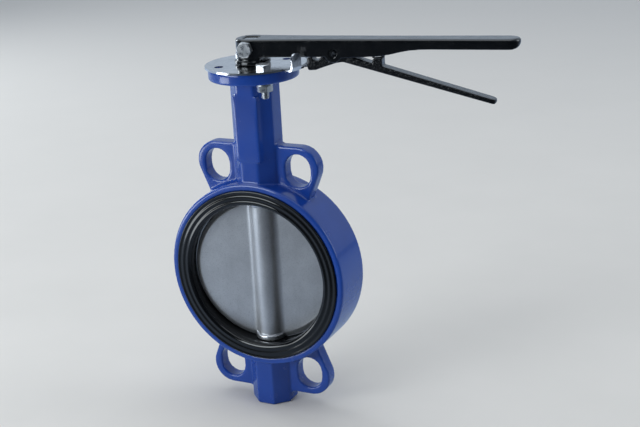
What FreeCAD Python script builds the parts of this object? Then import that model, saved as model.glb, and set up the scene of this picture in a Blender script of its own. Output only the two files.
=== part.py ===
import FreeCAD, Part
import math
import os

# Wafer butterfly valve, DN150, lever operated, soft seated.
# Millimetres. The origin is where the stem axis (Z, up) crosses the pipe axis (Y).
# The closed lever points along +X. The disc and lever are drawn REST_OPEN degrees open.

os.makedirs("parts", exist_ok=True)

V = FreeCAD.Vector
UP = V(0, 0, 1)
ALONG = V(0, 1, 0)

# Travel
REST_OPEN = 10.0
NOTCH_STEP = 5.0
FULL_TURN = 90.0
RUNNING = 0.05
CLEAR = 0.3

# Body ring and the rubber seat in it
RING_R = 97.7
RING_HALF = 26.25
RIM_CHAMFER = 1.2
ROOT_FILLET = 2.0
FACE_HALF = 28.0
SEAT_FACE_R = 91.4
SEAT_BED_R = 84.0
SEAT_LIP_HALF = 21.5
BORE_R = 78.2
LIP_R = 75.0

# Lugs with their bolt slots
SLOT_X = 45.6
SLOT_Z = 110.0
SLOT_R = 13.85
SLOT_LONG = 34.0
LUG_HALF = 7.5
LUG_R = 21.5
LUG_END_X = 46.8
LUG_END_Z = 113.0
LUG_LEAN = 22.5
LUG_EDGE = 1.6
LUG_CORNER_R = 5.0

# Neck, foot and top flange (ISO 5211 F07)
TOP_Z = 213.7
FLANGE_R = 45.0
FLANGE_T = 11.5
NECK_FLATS = 46.0
FOOT_Z = -146.5
FOOT_FLATS = 44.0
BOLT_PCD = 70.0
BOLT_HOLE_R = 4.5
PAD_HALF = 13.0
PAD_PROUD = 0.9
PAD_LOW_Z = 121.0
PAD_HIGH_Z = 187.0

# Stems and what carries them
STEM_R = 9.5
NECK_BORE_R = 12.5
SQUARE = 14.0
STEM_TOP_Z = 239.9
UPPER_STEM_LOW_Z = 22.0
LOWER_STEM_HIGH_Z = -22.0
LOWER_STEM_LOW_Z = -130.0
BUSH_GAP_R = 10.4
UPPER_BUSH = (188.0, 207.5)
MIDDLE_BUSH = (99.0, 124.0)
LOWER_BUSH = (-127.0, -99.0)
RING_SEALS = (128.5, 183.5)
RING_SEAL_WIRE = 1.45
CIRCLIP_GROOVE_R = 8.7
RECESS_R = 16.5
RECESS_DEEP = 4.2
PLUG_R = 12.4
PLUG_TOP_Z = -133.0

# Disc
DISC_R = 77.8
DISC_FACE_R = 72.0
DISC_HALF = 4.8
DISC_LAND_HALF = 1.6
HUB_R = 13.6
HUB_RING_R = 15.8
HUB_RING_Z = 71.0
HUB_BLEND = 7.0

# Notch plate
PLATE_T = 2.0
PLATE_R = 47.8
SECTOR_R = 56.5
SECTOR_FROM = -24.6
SECTOR_TO = 114.6
NOTCH_DEEP = 3.6
NOTCH_WIDE = 2.7
TAB_R = 58.8
TAB_WIDE = 12.6
TAB_HIGH = 17.8
TAB_BEND = 3.0
TAB_AT_CLOSED = -18.3
TAB_AT_OPEN = 108.3
PLATE_TOP = TOP_Z + PLATE_T

# Lever and trigger: heights are above LEVER_Z, just under the top of the flange
LEVER_Z = 212.9
LEVER_TOP = 28.4
LEVER_HEAD_LOW = 6.6
LEVER_LIP_LOW = 3.2
LEVER_HEAD_R = 15.8
LEVER_LIP_R = 17.8
LEVER_STEP_X = 11.7
LEVER_STEP_LOW = 11.2
LEVER_TIP_X = 262.6
LEVER_WALL = 3.2
LEVER_WAIST_X = 60.0
LEVER_WAIST_HALF = 12.0
LEVER_GRIP_X = 150.0
LEVER_GRIP_HALF = 11.0
LEVER_TIP_HALF = 11.6
GRIP_LOW = 18.6
PIVOT_X = 84.5
PIVOT_HIGH = 14.6
EAR_R = 9.0
SET_BOLT_HIGH = 19.6
STEM_HOLE_R = 11.5

# Trigger latch
TRIGGER_HALF = 6.8
TRIGGER_BOSS_R = 7.6
NOSE_X = 57.4
NOSE_LOW = -2.9
NOSE_HIGH = 9.6
SADDLE_HIGH = 6.6
TOOTH_WIDE = 2.4
TOOTH_LOW = -0.9
TOOTH_HIGH = 3.3
ARM_X = 132.6
ARM_TOP = 1.2
ARM_TOP_SLOPE = -0.294
ARM_LOW = -5.4
ARM_LOW_SLOPE = -0.275
ARM_END_X = 237.6
SPRING_X = 126.8
SPRING_R = 6.2
SPRING_WIRE = 1.6
BLOCK_HALF = 4.8
BLOCK_HIGH = 8.6
PIN_R = 3.5
PIN_BORE_R = 1.9
PIN_HALF = 12.3

# M8 plate bolts and the set bolt in the lever
M8_R = 4.0
M8_HEX = 14.0
M8_HEAD = 5.4
M8_NUT = 6.5
M8_HEAD_TURN = 55.5
M8_NUT_TURN = 13.5
M8_WASHER_R = 8.0
M8_WASHER_T = 1.6
M8_STICK_OUT = 7.0
SET_R = 5.0
SET_HEX = 14.0
SET_HEAD = 6.0
SET_X = -1.5
SET_TURN = -8.0


def cylinder(radius, low, high, x=0.0, y=0.0):
    return Part.makeCylinder(radius, high - low, V(x, y, low), UP)


def cylinder_along(radius, front, back, x=0.0, z=0.0):
    return Part.makeCylinder(radius, back - front, V(x, front, z), ALONG)


def tube(inner, outer, low, high, x=0.0, y=0.0):
    return cylinder(outer, low, high, x, y).cut(cylinder(inner, low - 1, high + 1, x, y))


def polygon_prism(points, vector):
    """Closed polygon of 3-D points, pushed along a vector."""
    loop = Part.makePolygon(points + [points[0]])
    return Part.Face(loop).extrude(vector)


def regular_prism(sides, flats, low, high, x=0.0, y=0.0, turn=0.0):
    """Upright prism whose opposite sides are flats apart, with one side facing -Y at turn 0."""
    corner = flats / 2 / math.cos(math.pi / sides)
    start = math.radians(turn) - math.pi / 2 + math.pi / sides
    angles = [start + 2 * math.pi * i / sides for i in range(sides)]
    points = [V(x + corner * math.cos(a), y + corner * math.sin(a), low) for a in angles]
    return polygon_prism(points, V(0, 0, high - low))


def opened(shape, angle=REST_OPEN):
    """Turn a piece drawn in the closed position about the stem."""
    turned = shape.copy()
    turned.rotate(V(0, 0, 0), UP, angle)
    return turned


def side_profile(points, half):
    """Outline in the X-Z plane, heights above LEVER_Z, spread half each way in Y."""
    loop = [V(x, -half, LEVER_Z + z) for x, z in points]
    return polygon_prism(loop, V(0, 2 * half, 0))


def bolt_places(angles, pcd=BOLT_PCD):
    for angle in angles:
        a = math.radians(angle)
        yield pcd / 2 * math.cos(a), pcd / 2 * math.sin(a)


def hex_head(flats, low, high, x, y, turn=0.0, chamfer_up=True):
    """Hexagon head or nut with its corners chamfered on one side."""
    body = regular_prism(6, flats, low, high, x, y, turn)
    corner = flats / math.sqrt(3)
    height = high - low
    base = low if chamfer_up else high
    way = UP if chamfer_up else V(0, 0, -1)
    cone = Part.makeCone(corner + height * 1.4, flats / 2 * 0.98, height, V(x, y, base), way)
    return body.common(cone)


def lug_outline(low):
    """Lug drawn at the upper right: flat top, round outer end, straight lean down to the ring."""
    lean = math.radians(LUG_LEAN)
    top = V(LUG_END_X, 0, LUG_END_Z + LUG_R)
    side = V(LUG_END_X + LUG_R * math.cos(lean), 0, LUG_END_Z - LUG_R * math.sin(lean))
    middle_angle = (math.pi / 2 - lean) / 2
    middle = V(
        LUG_END_X + LUG_R * math.cos(middle_angle), 0, LUG_END_Z + LUG_R * math.sin(middle_angle)
    )
    down = side.z - 70.0
    root = V(side.x - down * math.tan(lean), 0, 70.0)
    flat_z = LUG_END_Z + LUG_R
    corner_x = FOOT_FLATS / 2 if low else NECK_FLATS / 2
    centre = V(corner_x + LUG_CORNER_R, 0, flat_z + LUG_CORNER_R)
    reach = LUG_CORNER_R * math.sqrt(0.5)
    corner_top = V(corner_x, 0, flat_z + LUG_CORNER_R)
    corner_out = V(corner_x + LUG_CORNER_R, 0, flat_z)
    inside = V(0, 0, flat_z + LUG_CORNER_R)
    edges = [
        Part.LineSegment(inside, corner_top).toShape(),
        Part.Arc(corner_top, centre - V(reach, 0, reach), corner_out).toShape(),
        Part.LineSegment(corner_out, top).toShape(),
        Part.Arc(top, middle, side).toShape(),
        Part.LineSegment(side, root).toShape(),
        Part.LineSegment(root, V(0, 0, 70.0)).toShape(),
        Part.LineSegment(V(0, 0, 70.0), inside).toShape(),
    ]
    return Part.Wire(edges)


def lug(low):
    """One lug with its outer edges rounded. low is True for the pair beside the foot."""
    outline = lug_outline(low)
    outline.translate(V(0, -LUG_HALF, 0))
    plate = Part.Face(outline).extrude(V(0, 2 * LUG_HALF, 0))
    rounded = []
    for edge in plate.Edges:
        middle = edge.valueAt((edge.FirstParameter + edge.LastParameter) / 2)
        on_side = abs(abs(middle.y) - LUG_HALF) < 0.01
        if on_side and middle.x > 1 and middle.z > 75:
            rounded.append(edge)
    return plate.makeFillet(LUG_EDGE, rounded)


def lug_slot(x, z):
    """Upright bolt slot through a lug."""
    reach = SLOT_LONG / 2 - SLOT_R
    slot = cylinder_along(SLOT_R, -20, 20, x, z - reach)
    slot = slot.fuse(cylinder_along(SLOT_R, -20, 20, x, z + reach))
    middle = Part.makeBox(2 * SLOT_R, 40, 2 * reach, V(x - SLOT_R, -20, z - reach))
    return slot.fuse(middle)


def neck_pad():
    """Raised blank panel on the front of the neck, with sloping edges."""
    face = -NECK_FLATS / 2 - PAD_PROUD
    slope = PAD_PROUD + 1.0
    outer = [(-PAD_HALF, face), (PAD_HALF, face), (PAD_HALF + slope, face + slope + 4)]
    outer += [(-PAD_HALF - slope, face + slope + 4)]
    loop = [V(x, y, PAD_LOW_Z) for x, y in outer]
    return polygon_prism(loop, V(0, 0, PAD_HIGH_Z - PAD_LOW_Z))


def valve_body():
    """One casting: ring, four lugs, neck, foot and top flange."""
    ring = cylinder_along(RING_R, -RING_HALF, RING_HALF)
    ring = ring.makeChamfer(RIM_CHAMFER, [e for e in ring.Edges if e.Closed])
    solid = ring
    for flip_z in (False, True):
        one = lug(flip_z)
        for flip_x in (False, True):
            piece = one.copy()
            if flip_x:
                piece = piece.mirror(V(0, 0, 0), V(1, 0, 0))
            if flip_z:
                piece = piece.mirror(V(0, 0, 0), UP)
            solid = solid.fuse(piece)
    solid = solid.fuse(regular_prism(8, NECK_FLATS, 70, TOP_Z - FLANGE_T + 0.5))
    foot = regular_prism(8, FOOT_FLATS, FOOT_Z, -70)
    low_edges = [e for e in foot.Edges if abs(e.CenterOfMass.z - FOOT_Z) < 0.01]
    solid = solid.fuse(foot.makeChamfer(1.0, low_edges))
    solid = solid.fuse(neck_pad())
    flange = cylinder(FLANGE_R, TOP_Z - FLANGE_T, TOP_Z)
    flange = flange.makeFillet(1.4, [e for e in flange.Edges if e.Closed and e.Length > 1])
    solid = solid.fuse(flange)
    solid = solid.removeSplitter()
    for x in (-SLOT_X, SLOT_X):
        for z in (-SLOT_Z, SLOT_Z):
            solid = solid.cut(lug_slot(x, z))
    solid = solid.cut(seat_blank())
    solid = solid.cut(cylinder(NECK_BORE_R, 80, TOP_Z + 1))
    solid = solid.cut(cylinder(RECESS_R, TOP_Z - RECESS_DEEP, TOP_Z + 1))
    solid = solid.cut(cylinder(NECK_BORE_R, FOOT_Z - 1, -80))
    for x, y in bolt_places((-135, -45, 45, 135)):
        solid = solid.cut(cylinder(BOLT_HOLE_R, TOP_Z - 20, TOP_Z + 1, x, y))
    return solid.makeFillet(ROOT_FILLET, [e for e in solid.Edges if is_root_edge(e)])


def is_root_edge(edge):
    """True where the neck, the foot or a lug grows out of the ring's outside."""
    middle = edge.valueAt((edge.FirstParameter + edge.LastParameter) / 2)
    points = [v.Point for v in edge.Vertexes] + [middle]
    on_ring = all(abs(math.hypot(p.x, p.z) - RING_R) < 0.05 for p in points)
    inside_rims = abs(middle.y) < RING_HALF - RIM_CHAMFER - 0.1
    return on_ring and inside_rims and abs(middle.z) > 75 and edge.Length < 60


def seat_outer_points():
    """Half section (radius, along) of the seat's outside, which is also its bed in the ring."""
    return [
        (SEAT_BED_R, -SEAT_LIP_HALF),
        (SEAT_FACE_R - 1.5, -SEAT_LIP_HALF),
        (SEAT_FACE_R, -RING_HALF - 1),
    ]


def seat_blank():
    """Solid of revolution about the pipe axis that fills the seat's bed and bore."""
    front = seat_outer_points()
    back = [(r, -y) for r, y in reversed(front)]
    section = [(0, -RING_HALF - 1)] + list(reversed(front)) + list(reversed(back))
    section += [(0, RING_HALF + 1)]
    loop = [V(r, y, 0) for r, y in section]
    face = Part.Face(Part.makePolygon(loop + [loop[0]]))
    return face.revolve(V(0, 0, 0), ALONG, 360)


def seat_section():
    """Half section of the rubber: ribbed face, rounded lip and a bore that clears the disc."""
    face = -FACE_HALF
    front = seat_outer_points() + [
        (SEAT_FACE_R - 1.0, face),
        (88.2, face),
        (87.4, face + 0.9),
        (86.2, face + 0.9),
        (85.4, face),
        (83.0, face),
        (82.2, face + 0.8),
        (81.2, face + 0.8),
        (80.2, face + 0.3),
        (77.4, face + 0.6),
        (75.7, face + 1.4),
        (LIP_R, face + 3.0),
        (LIP_R + 0.4, face + 5.5),
        (BORE_R, -13.0),
    ]
    back = [(r, -y) for r, y in reversed(front)]
    return front + back


def seat_liner():
    loop = [V(r, y, 0) for r, y in seat_section()]
    face = Part.Face(Part.makePolygon(loop + [loop[0]]))
    seat = face.revolve(V(0, 0, 0), ALONG, 360)
    return seat.cut(cylinder(STEM_R + RUNNING, -100, 100))


def disc_blank():
    """Plate of the disc: flat faces, a steep bevel and a narrow land at the rim."""
    half = [
        (0, -DISC_HALF),
        (DISC_FACE_R, -DISC_HALF),
        (DISC_R - 0.5, -DISC_LAND_HALF),
        (DISC_R, 0),
        (DISC_R - 0.5, DISC_LAND_HALF),
        (DISC_FACE_R, DISC_HALF),
        (0, DISC_HALF),
    ]
    loop = [V(r, y, 0) for r, y in half]
    face = Part.Face(Part.makePolygon(loop + [loop[0]]))
    return face.revolve(V(0, 0, 0), ALONG, 360)


def disc():
    """Disc with a full-height hub, blended into its faces, turned rings at both hub ends."""
    plate = disc_blank()
    hub = cylinder(HUB_R, -DISC_R, DISC_R)
    blended = plate.fuse(hub)
    seams = []
    for edge in blended.Edges:
        middle = edge.CenterOfMass
        straight = abs(edge.Length - 2 * abs(edge.Vertexes[0].Point.z)) < 1.0
        if straight and edge.Length > 100 and abs(abs(middle.y) - DISC_HALF) < 0.05:
            seams.append(edge)
    blended = blended.makeFillet(HUB_BLEND, seams)
    for low, high in ((HUB_RING_Z, DISC_R), (-DISC_R, -HUB_RING_Z)):
        blended = blended.fuse(cylinder(HUB_RING_R, low, high))
    blended = blended.common(Part.makeSphere(DISC_R))
    drive = RUNNING
    upper = stem_square(UPPER_STEM_LOW_Z, UPPER_STEM_LOW_Z + 26, drive)
    upper = upper.fuse(cylinder(STEM_R + drive, UPPER_STEM_LOW_Z + 26, 90))
    lower = stem_square(LOWER_STEM_HIGH_Z - 16, LOWER_STEM_HIGH_Z, drive)
    lower = lower.fuse(cylinder(STEM_R + drive, -90, LOWER_STEM_HIGH_Z - 16))
    return opened(blended.cut(upper).cut(lower))


def stem_square(low, high, spare=0.0):
    """Square drive milled on the round stem, so its corners keep the stem's radius."""
    side = SQUARE + 2 * spare
    square = Part.makeBox(side, side, high - low, V(-side / 2, -side / 2, low))
    return square.common(cylinder(STEM_R + spare, low, high))


def upper_stem():
    """Drive stem from the disc to the lever."""
    step = UPPER_STEM_LOW_Z + 26
    shaft = stem_square(UPPER_STEM_LOW_Z + 0.3, step)
    shaft = shaft.fuse(cylinder(STEM_R, step, PLATE_TOP + 0.2))
    shaft = shaft.fuse(stem_square(PLATE_TOP + 0.2, STEM_TOP_Z))
    shaft = shaft.removeSplitter()
    groove = tube(CIRCLIP_GROOVE_R, STEM_R + 2, circlip_low(), circlip_low() + 1.3)
    top = Part.makeCone(STEM_R + 1.2, STEM_R - 1.0, 2.2, V(0, 0, STEM_TOP_Z - 2.2), UP)
    below = cylinder(STEM_R + 2, 0, STEM_TOP_Z - 2.2)
    return opened(shaft.cut(groove).common(below.fuse(top)))


def lower_stem():
    """Pivot stem under the disc."""
    step = LOWER_STEM_HIGH_Z - 16
    shaft = stem_square(step, LOWER_STEM_HIGH_Z - 0.3)
    shaft = shaft.fuse(cylinder(STEM_R, LOWER_STEM_LOW_Z, step))
    return opened(shaft.removeSplitter())


def circlip_low():
    return TOP_Z - RECESS_DEEP + 2.0


def thrust_washer():
    low = TOP_Z - RECESS_DEEP
    return tube(STEM_R + RUNNING, RECESS_R - 0.3, low, low + 1.6)


def retaining_ring():
    """Open circlip in the stem's groove."""
    low = circlip_low() + 0.1
    ring = tube(CIRCLIP_GROOVE_R, 12.6, low, low + 1.1)
    mouth = Part.makeBox(20, 5.0, 4, V(0, -2.5, low - 1))
    ring = ring.cut(mouth)
    for side in (-1, 1):
        eye = cylinder(2.1, low, low + 1.1, 12.2, side * 4.6)
        ring = ring.fuse(eye).cut(cylinder(0.9, low - 1, low + 2, 12.2, side * 4.6))
    return opened(ring)


def bushing(span):
    low, high = span
    return tube(STEM_R + RUNNING, NECK_BORE_R, low, high)


def stem_o_rings():
    """Rubber rings above the seat and under the upper bushing, in one node."""
    middle = STEM_R + RUNNING + RING_SEAL_WIRE
    rings = [Part.makeTorus(middle, RING_SEAL_WIRE, V(0, 0, z)) for z in RING_SEALS]
    return Part.makeCompound(rings)


def bottom_plug():
    """Plug that closes the foot's bore, with a hexagon socket."""
    plug = cylinder(PLUG_R, FOOT_Z + 1.5, PLUG_TOP_Z)
    socket = regular_prism(6, 10.0, FOOT_Z - 1, FOOT_Z + 8)
    groove = tube(PLUG_R - 2.4, PLUG_R + 1, PLUG_TOP_Z - 5.2, PLUG_TOP_Z - 2.4)
    return plug.cut(socket).cut(groove)


def plug_o_ring():
    return Part.makeTorus(PLUG_R - 1.25, 1.15, V(0, 0, PLUG_TOP_Z - 3.8))


def tab_section():
    """Side view of a stop tab: flat foot, bend of radius TAB_BEND inside, upright end."""
    low = TOP_Z
    high = TOP_Z + TAB_HIGH
    inner = TAB_BEND
    outer = TAB_BEND + PLATE_T
    centre_x = TAB_R - inner
    centre_z = low + PLATE_T + inner
    half_turn = math.sqrt(0.5)
    edges = [
        Part.LineSegment(V(40, 0, low), V(centre_x, 0, low)).toShape(),
        Part.Arc(
            V(centre_x, 0, low),
            V(centre_x + outer * half_turn, 0, centre_z - outer * half_turn),
            V(TAB_R + PLATE_T, 0, centre_z),
        ).toShape(),
        Part.LineSegment(V(TAB_R + PLATE_T, 0, centre_z), V(TAB_R + PLATE_T, 0, high)).toShape(),
        Part.LineSegment(V(TAB_R + PLATE_T, 0, high), V(TAB_R, 0, high)).toShape(),
        Part.LineSegment(V(TAB_R, 0, high), V(TAB_R, 0, centre_z)).toShape(),
        Part.Arc(
            V(TAB_R, 0, centre_z),
            V(centre_x + inner * half_turn, 0, centre_z - inner * half_turn),
            V(centre_x, 0, low + PLATE_T),
        ).toShape(),
        Part.LineSegment(V(centre_x, 0, low + PLATE_T), V(40, 0, low + PLATE_T)).toShape(),
        Part.LineSegment(V(40, 0, low + PLATE_T), V(40, 0, low)).toShape(),
    ]
    return Part.Face(Part.Wire(edges))


def stop_tab(angle):
    """Round-topped stop bent up from the sector's rim."""
    half = TAB_WIDE / 2
    bent = tab_section().extrude(V(0, TAB_WIDE, 0))
    bent.translate(V(0, -half, 0))
    shoulder = TOP_Z + TAB_HIGH - half
    blank = Part.makeBox(40, TAB_WIDE, shoulder - TOP_Z, V(35, -half, TOP_Z))
    crown = Part.makeCylinder(half, 40, V(35, 0, shoulder), V(1, 0, 0))
    return opened(bent.common(blank.fuse(crown)), angle)


def sector():
    """Wide part of the notch plate, from one stop to the other."""
    low = V(0, 0, PLATE_TOP - PLATE_T)
    angle = SECTOR_TO - SECTOR_FROM
    wedge = Part.makeCylinder(SECTOR_R, PLATE_T, low, UP, angle)
    wedge.rotate(V(0, 0, 0), UP, SECTOR_FROM)
    return wedge


def notch_plate():
    """Plate with a notch every NOTCH_STEP degrees of travel and a stop at each end of it."""
    low = PLATE_TOP - PLATE_T
    plate = cylinder(PLATE_R, low, PLATE_TOP).fuse(sector())
    plate = plate.fuse(stop_tab(TAB_AT_CLOSED)).fuse(stop_tab(TAB_AT_OPEN))
    plate = plate.removeSplitter()
    count = int(FULL_TURN / NOTCH_STEP) + 1
    for i in range(count):
        cutter = Part.makeBox(
            NOTCH_DEEP + 3,
            NOTCH_WIDE,
            PLATE_T + 2,
            V(SECTOR_R - NOTCH_DEEP, -NOTCH_WIDE / 2, low - 1),
        )
        plate = plate.cut(opened(cutter, i * NOTCH_STEP))
    plate = plate.cut(cylinder(STEM_R + 1.0, low - 1, PLATE_TOP + 1))
    for x, y in bolt_places((-135, -45, 45, 135)):
        plate = plate.cut(cylinder(BOLT_HOLE_R, low - 1, PLATE_TOP + 1, x, y))
    return plate


def plate_bolts():
    """Two M8 bolts, head up on the notch plate, at opposite holes."""
    bolts = []
    under = TOP_Z - FLANGE_T - M8_WASHER_T - M8_NUT - M8_STICK_OUT
    for x, y in bolt_places((-45, 135)):
        head = hex_head(M8_HEX, PLATE_TOP, PLATE_TOP + M8_HEAD, x, y, M8_HEAD_TURN)
        shank = cylinder(M8_R, under, PLATE_TOP, x, y)
        tip = [e for e in shank.Edges if abs(e.CenterOfMass.z - under) < 0.01]
        bolts.append(head.fuse(shank.makeChamfer(0.8, tip)))
    return Part.makeCompound(bolts)


def plate_washers():
    top = TOP_Z - FLANGE_T
    rings = [
        tube(M8_R + 0.3, M8_WASHER_R, top - M8_WASHER_T, top, x, y)
        for x, y in bolt_places((-45, 135))
    ]
    return Part.makeCompound(rings)


def plate_nuts():
    top = TOP_Z - FLANGE_T - M8_WASHER_T
    nuts = []
    for x, y in bolt_places((-45, 135)):
        nut = hex_head(M8_HEX, top - M8_NUT, top, x, y, M8_NUT_TURN, False)
        nuts.append(nut.cut(cylinder(M8_R, top - 10, top + 1, x, y)))
    return Part.makeCompound(nuts)


def lever_plan(inset=0.0):
    """Plan outline of the lever, round about the stem and at the tip."""
    head = LEVER_HEAD_R - inset
    waist = LEVER_WAIST_HALF - inset
    grip = LEVER_GRIP_HALF - inset
    tip = LEVER_TIP_HALF - inset
    tip_x = LEVER_TIP_X - inset - tip
    a = V(6.0, -math.sqrt(head * head - 36.0), 0)
    b = V(LEVER_WAIST_X, -waist, 0)
    c = V(LEVER_GRIP_X, -grip, 0)
    d = V(tip_x, -tip, 0)
    right = [a, b, c, d]
    left = [V(p.x, -p.y, 0) for p in right]
    edges = [Part.LineSegment(right[i], right[i + 1]).toShape() for i in range(3)]
    edges.append(Part.Arc(d, V(tip_x + tip, 0, 0), left[3]).toShape())
    edges += [Part.LineSegment(left[i + 1], left[i]).toShape() for i in (2, 1, 0)]
    edges.append(Part.Arc(left[0], V(-head, 0, 0), a).toShape())
    return Part.Wire(edges)


def lever_side():
    """Side outline of the lever: deep at the head, an ear at the pivot, slim at the grip."""
    ear = [
        (
            PIVOT_X + EAR_R * math.cos(math.radians(a)),
            PIVOT_HIGH + EAR_R * math.sin(math.radians(a)),
        )
        for a in range(-160, -29, 13)
    ]
    belly = [(108.0, 10.9), (122.0, 11.6), (133.0, 12.4), (142.0, 14.0), (150.0, 15.9)]
    belly += [(158.0, 17.4), (168.0, 18.3), (180.0, GRIP_LOW)]
    outline = [(-30.0, LEVER_HEAD_LOW), (LEVER_STEP_X, LEVER_HEAD_LOW)]
    outline += [(LEVER_STEP_X, LEVER_STEP_LOW), (72.0, LEVER_STEP_LOW)]
    outline += ear + belly
    outline += [(LEVER_TIP_X - 7.0, GRIP_LOW), (LEVER_TIP_X - 3.2, GRIP_LOW + 0.9)]
    outline += [(LEVER_TIP_X - 1.0, GRIP_LOW + 2.8), (LEVER_TIP_X + 1.0, GRIP_LOW + 8.0)]
    outline += [(LEVER_TIP_X + 5, LEVER_TOP + 5)]
    outline += [(-30.0, LEVER_TOP + 5)]
    return side_profile(outline, 30)


def lever_handle():
    """Channel-shaped lever, open underneath, with a solid head on the stem's square."""
    depth = LEVER_TOP - LEVER_LIP_LOW
    plan = Part.Face(lever_plan()).extrude(V(0, 0, depth))
    plan.translate(V(0, 0, LEVER_Z + LEVER_LIP_LOW))
    top = [e for e in plan.Edges if abs(e.CenterOfMass.z - LEVER_Z - LEVER_TOP) < 0.01]
    shell = plan.makeFillet(2.4, top).common(lever_side())
    hollow = Part.Face(lever_plan(LEVER_WALL)).extrude(V(0, 0, depth - LEVER_WALL))
    hollow.translate(V(0, 0, LEVER_Z + LEVER_LIP_LOW))
    head_end = STEM_HOLE_R + LEVER_WALL
    keep = Part.makeBox(400, 80, 80, V(head_end, -40, LEVER_Z))
    shell = shell.cut(hollow.common(keep))
    shell = shell.fuse(cylinder(LEVER_LIP_R, LEVER_Z + LEVER_LIP_LOW, LEVER_Z + LEVER_HEAD_LOW + 0.6))
    square = SQUARE + 2 * RUNNING
    hole = Part.makeBox(square, square, 60, V(-square / 2, -square / 2, LEVER_Z))
    shell = shell.cut(hole)
    set_bolt_hole = cylinder_along(SET_R, -30, -SQUARE / 2, SET_X, LEVER_Z + SET_BOLT_HIGH)
    shell = shell.cut(set_bolt_hole)
    pin_hole = cylinder_along(PIN_R, -30, 30, PIVOT_X, LEVER_Z + PIVOT_HIGH)
    return opened(shell.cut(pin_hole))


def lever_set_bolt():
    """Hexagon set bolt through the front of the lever's head, tight on the stem's flat."""
    head = hex_head(SET_HEX, 0, SET_HEAD, 0, 0, SET_TURN)
    shank = cylinder(SET_R, SQUARE / 2 - LEVER_HEAD_R, 0)
    bolt = head.fuse(shank)
    bolt.rotate(V(0, 0, 0), V(1, 0, 0), 90)
    bolt.translate(V(SET_X, -LEVER_HEAD_R, LEVER_Z + SET_BOLT_HIGH))
    return opened(bolt)


def arm_height(x, base, slope):
    return base + slope * (x - ARM_X)


def trigger_latch():
    """Latch: toothed nose, pivot boss, spring seat and a long sloping finger arm."""
    top_end = arm_height(ARM_END_X, ARM_TOP, ARM_TOP_SLOPE)
    low_end = arm_height(ARM_END_X, ARM_LOW, ARM_LOW_SLOPE)
    outline = [
        (NOSE_X, NOSE_HIGH),
        (NOSE_X, NOSE_LOW + 1.6),
        (NOSE_X + 1.6, NOSE_LOW),
        (NOSE_X + 8.4, NOSE_LOW + 0.5),
        (NOSE_X + 13.5, NOSE_LOW + 2.4),
        (81.0, 2.8),
        (86.0, 4.4),
        (93.0, arm_height(93.0, ARM_LOW, ARM_LOW_SLOPE)),
        (ARM_END_X, low_end),
        (ARM_END_X, top_end),
        (SPRING_X + BLOCK_HALF, arm_height(SPRING_X + BLOCK_HALF, ARM_TOP, ARM_TOP_SLOPE)),
        (SPRING_X + BLOCK_HALF, BLOCK_HIGH - 0.8),
        (SPRING_X + BLOCK_HALF - 0.8, BLOCK_HIGH),
        (SPRING_X - BLOCK_HALF + 0.8, BLOCK_HIGH),
        (SPRING_X - BLOCK_HALF, BLOCK_HIGH - 0.8),
        (SPRING_X - BLOCK_HALF, arm_height(SPRING_X - BLOCK_HALF, ARM_TOP, ARM_TOP_SLOPE)),
        (PIVOT_X + TRIGGER_BOSS_R - 0.4, PIVOT_HIGH - 1.2),
        (PIVOT_X - TRIGGER_BOSS_R + 0.4, PIVOT_HIGH - 1.5),
        (NOSE_X + 13.6, SADDLE_HIGH + 3.6),
        (NOSE_X + 11.4, SADDLE_HIGH + 0.4),
        (NOSE_X + 6.4, SADDLE_HIGH),
        (NOSE_X + 4.4, NOSE_HIGH),
    ]
    solid = side_profile(outline, TRIGGER_HALF)
    pivot_z = LEVER_Z + PIVOT_HIGH
    boss = cylinder_along(TRIGGER_BOSS_R, -TRIGGER_HALF, TRIGGER_HALF, PIVOT_X, pivot_z)
    solid = solid.fuse(boss)
    tip_r = (top_end - low_end) / 2
    tip = cylinder_along(
        tip_r, -TRIGGER_HALF, TRIGGER_HALF, ARM_END_X, LEVER_Z + (top_end + low_end) / 2
    )
    solid = solid.fuse(tip)
    tooth = Part.makeBox(
        NOSE_X - SECTOR_R + NOTCH_DEEP,
        TOOTH_WIDE,
        TOOTH_HIGH - TOOTH_LOW,
        V(SECTOR_R - NOTCH_DEEP + 0.3, -TOOTH_WIDE / 2, LEVER_Z + TOOTH_LOW),
    )
    solid = solid.fuse(tooth).removeSplitter()
    pin_hole = cylinder_along(PIN_R + RUNNING, -30, 30, PIVOT_X, pivot_z)
    return opened(solid.cut(pin_hole))


def trigger_pin():
    """Hollow spring pin through both cheeks of the lever."""
    z = LEVER_Z + PIVOT_HIGH
    pin = cylinder_along(PIN_R, -PIN_HALF, PIN_HALF, PIVOT_X, z)
    pin = pin.cut(cylinder_along(PIN_BORE_R, -PIN_HALF - 1, PIN_HALF + 1, PIVOT_X, z))
    slit = Part.makeBox(PIN_R + 1, 4 * PIN_HALF, 0.7, V(PIVOT_X, -2 * PIN_HALF, z - 0.35))
    return opened(pin.cut(slit))


def trigger_spring():
    """Envelope of the coil spring between the latch's seat and the lever's roof."""
    low = LEVER_Z + BLOCK_HIGH + 0.3
    high = LEVER_Z + LEVER_TOP - LEVER_WALL
    return opened(tube(SPRING_R - SPRING_WIRE, SPRING_R, low, high, SPRING_X))


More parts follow.
